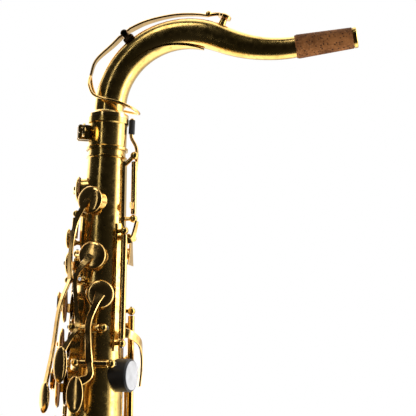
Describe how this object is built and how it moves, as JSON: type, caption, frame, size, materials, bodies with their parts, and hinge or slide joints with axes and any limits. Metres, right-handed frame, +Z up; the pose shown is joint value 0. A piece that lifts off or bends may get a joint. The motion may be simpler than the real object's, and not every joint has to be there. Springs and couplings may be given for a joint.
{
  "type": "tenor saxophone",
  "caption": "Tenor saxophone with a worn brass conical body, bow, bell, curved neck with cork, hinged pad keys, levers and an octave mechanism; hung by its strap ring.",
  "frame": {"origin": "middle of the eye of the strap ring, where the neck strap holds the part", "axes": "+Z up along the main tube towards the neck; +X towards the player and the mouthpiece end; -X towards the bell; +Y the instrument's right-hand side, so the palm keys and table are on -Y"},
  "size_m": [0.4147, 0.1576, 0.7797],
  "materials": {
    "bell": "aged, no lacquer left",
    "bell_brace": "aged, no lacquer left",
    "bell_key_guard": "aged, no lacquer left",
    "bis_key": "aged, no lacquer left",
    "body_bow_ring": "polished, lightly worn",
    "body_octave_key": "aged, no lacquer left",
    "body_tube": "aged, no lacquer left",
    "bow": "aged, no lacquer left",
    "bow_bell_ring": "polished, lightly worn",
    "f_sharp_key": "aged, no lacquer left",
    "front_f_key": "aged, no lacquer left",
    "g_sharp_key": "aged, no lacquer left",
    "high_d_key": "aged, no lacquer left",
    "high_d_posts": "aged, no lacquer left",
    "high_e_key": "aged, no lacquer left",
    "high_eb_key": "aged, no lacquer left",
    "high_eb_posts": "aged, no lacquer left",
    "high_f_key": "aged, no lacquer left",
    "high_f_posts": "aged, no lacquer left",
    "low_b_key": "aged, no lacquer left",
    "low_b_lever": "aged, no lacquer left",
    "low_b_rib": "aged, no lacquer left",
    "low_bb_key": "aged, no lacquer left",
    "low_bb_lever": "aged, no lacquer left",
    "low_c_key": "aged, no lacquer left",
    "low_c_sharp_key": "aged, no lacquer left",
    "low_c_sharp_lever": "aged, no lacquer left",
    "low_c_sharp_rib": "aged, no lacquer left",
    "low_eb_key": "aged, no lacquer left",
    "low_key_rib": "aged, no lacquer left",
    "lower_d_key": "aged, no lacquer left",
    "lower_e_key": "aged, no lacquer left",
    "lower_f_key": "aged, no lacquer left",
    "lower_stack_pin": "ground steel",
    "lower_stack_rib": "aged, no lacquer left",
    "neck_clamp_screw": "polished, lightly worn",
    "neck_cork": "sealed cork",
    "neck_octave_key": "aged, no lacquer left",
    "neck_octave_saddle": "tarnished",
    "neck_receiver": "polished, lightly worn",
    "neck_tenon": "polished, lightly worn",
    "neck_tube": "aged, no lacquer left",
    "neck_underside_plate": "aged, no lacquer left",
    "octave_pin_key": "aged, no lacquer left",
    "octave_rib": "aged, no lacquer left",
    "side_bb_key": "aged, no lacquer left",
    "side_c_key": "aged, no lacquer left",
    "side_key_rib": "aged, no lacquer left",
    "small_c_key": "aged, no lacquer left",
    "strap_ring": "aged, no lacquer left",
    "table_rib": "aged, no lacquer left",
    "thumb_hook": "aged, no lacquer left",
    "thumb_lever_rib": "aged, no lacquer left",
    "thumb_octave_lever": "aged, no lacquer left",
    "thumb_rest": "black resin",
    "upper_a_key": "aged, no lacquer left",
    "upper_b_key": "aged, no lacquer left",
    "upper_g_key": "aged, no lacquer left",
    "upper_stack_pin": "ground steel",
    "upper_stack_rib": "aged, no lacquer left"
  },
  "bodies": {
    "main_tube_and_bell": {"bell": "bell", "bell_brace": "bell_brace", "bell_key_guard": "bell_key_guard", "body_bow_ring": "body_bow_ring", "body_tube": "body_tube", "bow": "bow", "bow_bell_ring": "bow_bell_ring", "high_d_posts": "high_d_posts", "high_eb_posts": "high_eb_posts", "high_f_posts": "high_f_posts", "low_b_rib": "low_b_rib", "low_c_sharp_rib": "low_c_sharp_rib", "low_key_rib": "low_key_rib", "lower_stack_pin": "lower_stack_pin", "lower_stack_rib": "lower_stack_rib", "neck_receiver": "neck_receiver", "octave_rib": "octave_rib", "side_key_rib": "side_key_rib", "strap_ring": "strap_ring", "table_rib": "table_rib", "thumb_hook": "thumb_hook", "thumb_lever_rib": "thumb_lever_rib", "thumb_rest": "thumb_rest", "upper_stack_pin": "upper_stack_pin", "upper_stack_rib": "upper_stack_rib"},
    "neck": {"neck_tube": "neck_tube", "neck_tenon": "neck_tenon", "neck_cork": "neck_cork", "neck_underside_plate": "neck_underside_plate", "neck_octave_saddle": "neck_octave_saddle"},
    "bis_key": {"bis_key": "bis_key"},
    "body_octave_key": {"body_octave_key": "body_octave_key"},
    "f_sharp_key": {"f_sharp_key": "f_sharp_key"},
    "front_f_key": {"front_f_key": "front_f_key"},
    "g_sharp_key": {"g_sharp_key": "g_sharp_key"},
    "high_d_key": {"high_d_key": "high_d_key"},
    "high_e_key": {"high_e_key": "high_e_key"},
    "high_eb_key": {"high_eb_key": "high_eb_key"},
    "high_f_key": {"high_f_key": "high_f_key"},
    "low_b_key": {"low_b_key": "low_b_key"},
    "low_b_lever": {"low_b_lever": "low_b_lever"},
    "low_bb_key": {"low_bb_key": "low_bb_key"},
    "low_bb_lever": {"low_bb_lever": "low_bb_lever"},
    "low_c_key": {"low_c_key": "low_c_key"},
    "low_c_sharp_key": {"low_c_sharp_key": "low_c_sharp_key"},
    "low_c_sharp_lever": {"low_c_sharp_lever": "low_c_sharp_lever"},
    "low_eb_key": {"low_eb_key": "low_eb_key"},
    "lower_d_key": {"lower_d_key": "lower_d_key"},
    "lower_e_key": {"lower_e_key": "lower_e_key"},
    "lower_f_key": {"lower_f_key": "lower_f_key"},
    "neck_clamp_screw": {"neck_clamp_screw": "neck_clamp_screw"},
    "neck_octave_key": {"neck_octave_key": "neck_octave_key"},
    "octave_pin_key": {"octave_pin_key": "octave_pin_key"},
    "side_bb_key": {"side_bb_key": "side_bb_key"},
    "side_c_key": {"side_c_key": "side_c_key"},
    "small_c_key": {"small_c_key": "small_c_key"},
    "thumb_octave_lever": {"thumb_octave_lever": "thumb_octave_lever"},
    "upper_a_key": {"upper_a_key": "upper_a_key"},
    "upper_b_key": {"upper_b_key": "upper_b_key"},
    "upper_g_key": {"upper_g_key": "upper_g_key"}
  },
  "joints": [
    {"name": "neck_swivel", "type": "hinge", "parent": "main_tube_and_bell", "child": "neck", "pos_m": [-0.03225, 0, 0.305], "axis": [0, 0, 1], "range_deg": [-180, 180]},
    {"name": "bis_key_hinge", "type": "hinge", "parent": "main_tube_and_bell", "child": "bis_key", "pos_m": [-0.05743, 0.01454, 0.1075], "axis": [0.0255, -0.0147, 0.9996], "range_deg": [0, 9], "stiffness_Nm_per_rad": 0.06, "springref_deg": -20.05},
    {"name": "body_octave_key_hinge", "type": "hinge", "parent": "main_tube_and_bell", "child": "body_octave_key", "pos_m": [-0.0089, -0.00328, 0.209], "axis": [-0.1392, -0.9903, 0], "range_deg": [0, 7], "stiffness_Nm_per_rad": 0.06, "springref_deg": -20.05},
    {"name": "f_sharp_key_hinge", "type": "hinge", "parent": "main_tube_and_bell", "child": "f_sharp_key", "pos_m": [-0.05792, 0.02567, -0.0527], "axis": [0.0209, -0.0209, 0.9996], "range_deg": [0, 9], "stiffness_Nm_per_rad": 0.06, "springref_deg": -20.05},
    {"name": "front_f_key_hinge", "type": "hinge", "parent": "main_tube_and_bell", "child": "front_f_key", "pos_m": [-0.05253, -0.01219, 0.2062], "axis": [-0.0253, -0.0152, -0.9996], "range_deg": [0, 8], "stiffness_Nm_per_rad": 0.06, "springref_deg": -20.05},
    {"name": "g_sharp_key_hinge", "type": "hinge", "parent": "main_tube_and_bell", "child": "g_sharp_key", "pos_m": [-0.03666, -0.03142, 0.0175], "axis": [0.0041, 0.0292, 0.9996], "range_deg": [0, 6], "stiffness_Nm_per_rad": 0.06, "springref_deg": -20.05},
    {"name": "high_d_key_hinge", "type": "hinge", "parent": "main_tube_and_bell", "child": "high_d_key", "pos_m": [-0.02932, -0.02788, 0.109], "axis": [0.9945, 0.1045, 0], "range_deg": [0, 8], "stiffness_Nm_per_rad": 0.06, "springref_deg": -20.05},
    {"name": "high_e_key_hinge", "type": "hinge", "parent": "main_tube_and_bell", "child": "high_e_key", "pos_m": [-0.04961, 0.02304, 0.0645], "axis": [-0.0177, 0.0235, -0.9996], "range_deg": [0, 8], "stiffness_Nm_per_rad": 0.06, "springref_deg": -20.05},
    {"name": "high_eb_key_hinge", "type": "hinge", "parent": "main_tube_and_bell", "child": "high_eb_key", "pos_m": [-0.03509, -0.02709, 0.136], "axis": [0.9945, -0.1045, 0], "range_deg": [0, 6], "stiffness_Nm_per_rad": 0.06, "springref_deg": -20.05},
    {"name": "high_f_key_hinge", "type": "hinge", "parent": "main_tube_and_bell", "child": "high_f_key", "pos_m": [-0.05069, -0.01781, 0.173], "axis": [0.6947, -0.7193, 0], "range_deg": [0, 4], "stiffness_Nm_per_rad": 0.06, "springref_deg": -20.05},
    {"name": "low_b_key_hinge", "type": "hinge", "parent": "main_tube_and_bell", "child": "low_b_key", "pos_m": [-0.10994, 0.01899, -0.22157], "axis": [-0.019, 0.0187, 0.9996], "range_deg": [0, 5.6], "stiffness_Nm_per_rad": 0.12, "springref_deg": -20.05},
    {"name": "low_b_lever_hinge", "type": "hinge", "parent": "main_tube_and_bell", "child": "low_b_lever", "pos_m": [-0.01486, -0.03011, -0.1195], "axis": [0.0147, -0.0255, -0.9996], "range_deg": [0, 4], "stiffness_Nm_per_rad": 0.06, "springref_deg": -20.05},
    {"name": "low_bb_key_hinge", "type": "hinge", "parent": "main_tube_and_bell", "child": "low_bb_key", "pos_m": [-0.11872, 0.0321, -0.14997], "axis": [-0.0228, 0.0321, 0.9992], "range_deg": [0, 5.6], "stiffness_Nm_per_rad": 0.12, "springref_deg": -20.05},
    {"name": "low_bb_lever_hinge", "type": "hinge", "parent": "main_tube_and_bell", "child": "low_bb_lever", "pos_m": [-0.00812, -0.02413, -0.0975], "axis": [0.0209, -0.0209, -0.9996], "range_deg": [0, 4], "stiffness_Nm_per_rad": 0.06, "springref_deg": -20.05},
    {"name": "low_c_key_hinge", "type": "hinge", "parent": "main_tube_and_bell", "child": "low_c_key", "pos_m": [-0.0167, 0.03492, -0.2535], "axis": [-0.012, -0.0269, 0.9996], "range_deg": [0, 9], "stiffness_Nm_per_rad": 0.12, "springref_deg": -20.05},
    {"name": "low_c_sharp_key_hinge", "type": "hinge", "parent": "main_tube_and_bell", "child": "low_c_sharp_key", "pos_m": [-0.17941, -0.03607, -0.24586], "axis": [0.0887, 0.0355, -0.9954], "range_deg": [0, 6], "stiffness_Nm_per_rad": 0.12, "springref_deg": -20.05},
    {"name": "low_c_sharp_lever_hinge", "type": "hinge", "parent": "main_tube_and_bell", "child": "low_c_sharp_lever", "pos_m": [-0.02849, -0.03576, -0.1595], "axis": [-0.0031, 0.0293, 0.9996], "range_deg": [0, 5], "stiffness_Nm_per_rad": 0.06, "springref_deg": -20.05},
    {"name": "low_eb_key_hinge", "type": "hinge", "parent": "main_tube_and_bell", "child": "low_eb_key", "pos_m": [-0.0283, 0.03761, -0.2395], "axis": [0.0031, 0.0293, -0.9996], "range_deg": [0, 7], "stiffness_Nm_per_rad": 0.09, "springref_deg": -20.05},
    {"name": "lower_d_key_hinge", "type": "hinge", "parent": "main_tube_and_bell", "child": "lower_d_key", "pos_m": [-0.06075, 0.0285, -0.1885], "axis": [0.0209, -0.0209, 0.9996], "range_deg": [0, 9], "stiffness_Nm_per_rad": 0.09, "springref_deg": -20.05},
    {"name": "lower_e_key_hinge", "type": "hinge", "parent": "main_tube_and_bell", "child": "lower_e_key", "pos_m": [-0.05977, 0.02753, -0.1417], "axis": [0.0209, -0.0209, 0.9996], "range_deg": [0, 9], "stiffness_Nm_per_rad": 0.09, "springref_deg": -20.05},
    {"name": "lower_f_key_hinge", "type": "hinge", "parent": "main_tube_and_bell", "child": "lower_f_key", "pos_m": [-0.05876, 0.02651, -0.093], "axis": [0.0209, -0.0209, 0.9996], "range_deg": [0, 9], "stiffness_Nm_per_rad": 0.06, "springref_deg": -20.05},
    {"name": "neck_clamp_screw_hinge", "type": "hinge", "parent": "main_tube_and_bell", "child": "neck_clamp_screw", "pos_m": [-0.05212, -0.00646, 0.2925], "axis": [0.309, -0.9511, 0], "range_deg": [0, 180]},
    {"name": "neck_octave_key_hinge", "type": "hinge", "parent": "neck", "child": "neck_octave_key", "pos_m": [-0.02139, 0, 0.37513], "axis": [0, -1, 0], "range_deg": [0, 4], "stiffness_Nm_per_rad": 0.08, "springref_deg": -20.05},
    {"name": "octave_pin_key_hinge", "type": "hinge", "parent": "main_tube_and_bell", "child": "octave_pin_key", "pos_m": [-0.00769, -0.00433, 0.2275], "axis": [0.029, -0.0051, -0.9996], "range_deg": [0, 12], "stiffness_Nm_per_rad": 0.06, "springref_deg": -20.05},
    {"name": "side_bb_key_hinge", "type": "hinge", "parent": "main_tube_and_bell", "child": "side_bb_key", "pos_m": [-0.00789, 0.01903, -0.0055], "axis": [0.0232, 0.0182, -0.9996], "range_deg": [0, 7], "stiffness_Nm_per_rad": 0.06, "springref_deg": -20.05},
    {"name": "side_c_key_hinge", "type": "hinge", "parent": "main_tube_and_bell", "child": "side_c_key", "pos_m": [-0.00521, 0.01319, 0.0225], "axis": [0.0265, 0.0129, -0.9996], "range_deg": [0, 7], "stiffness_Nm_per_rad": 0.06, "springref_deg": -20.05},
    {"name": "small_c_key_hinge", "type": "hinge", "parent": "main_tube_and_bell", "child": "small_c_key", "pos_m": [-0.05588, 0.01364, 0.1683], "axis": [0.0255, -0.0147, 0.9996], "range_deg": [0, 9], "stiffness_Nm_per_rad": 0.06, "springref_deg": -20.05},
    {"name": "thumb_octave_lever_hinge", "type": "hinge", "parent": "main_tube_and_bell", "child": "thumb_octave_lever", "pos_m": [-0.01044, -0.01585, 0.1285], "axis": [-0.0239, 0.0173, 0.9996], "range_deg": [0, 6], "stiffness_Nm_per_rad": 0.06, "springref_deg": -20.05},
    {"name": "upper_a_key_hinge", "type": "hinge", "parent": "main_tube_and_bell", "child": "upper_a_key", "pos_m": [-0.0584, 0.0151, 0.0693], "axis": [0.0255, -0.0147, 0.9996], "range_deg": [0, 9], "stiffness_Nm_per_rad": 0.06, "springref_deg": -20.05},
    {"name": "upper_b_key_hinge", "type": "hinge", "parent": "main_tube_and_bell", "child": "upper_b_key", "pos_m": [-0.05667, 0.0141, 0.1373], "axis": [0.0255, -0.0147, 0.9996], "range_deg": [0, 9], "stiffness_Nm_per_rad": 0.06, "springref_deg": -20.05},
    {"name": "upper_g_key_hinge", "type": "hinge", "parent": "main_tube_and_bell", "child": "upper_g_key", "pos_m": [-0.05934, 0.01564, 0.0325], "axis": [0.0255, -0.0147, 0.9996], "range_deg": [0, 9], "stiffness_Nm_per_rad": 0.06, "springref_deg": -20.05}
  ],
  "couplings": [
    {"joint": "octave_pin_key_hinge", "follows": "thumb_octave_lever_hinge", "ratio": 2},
    {"joint": "neck_octave_key_hinge", "follows": "thumb_octave_lever_hinge", "ratio": 0.6666},
    {"joint": "low_c_sharp_lever_hinge", "follows": "low_c_sharp_key_hinge", "ratio": 0.8333},
    {"joint": "low_b_lever_hinge", "follows": "low_b_key_hinge", "ratio": 0.7142},
    {"joint": "low_bb_lever_hinge", "follows": "low_bb_key_hinge", "ratio": 0.7142}
  ]
}
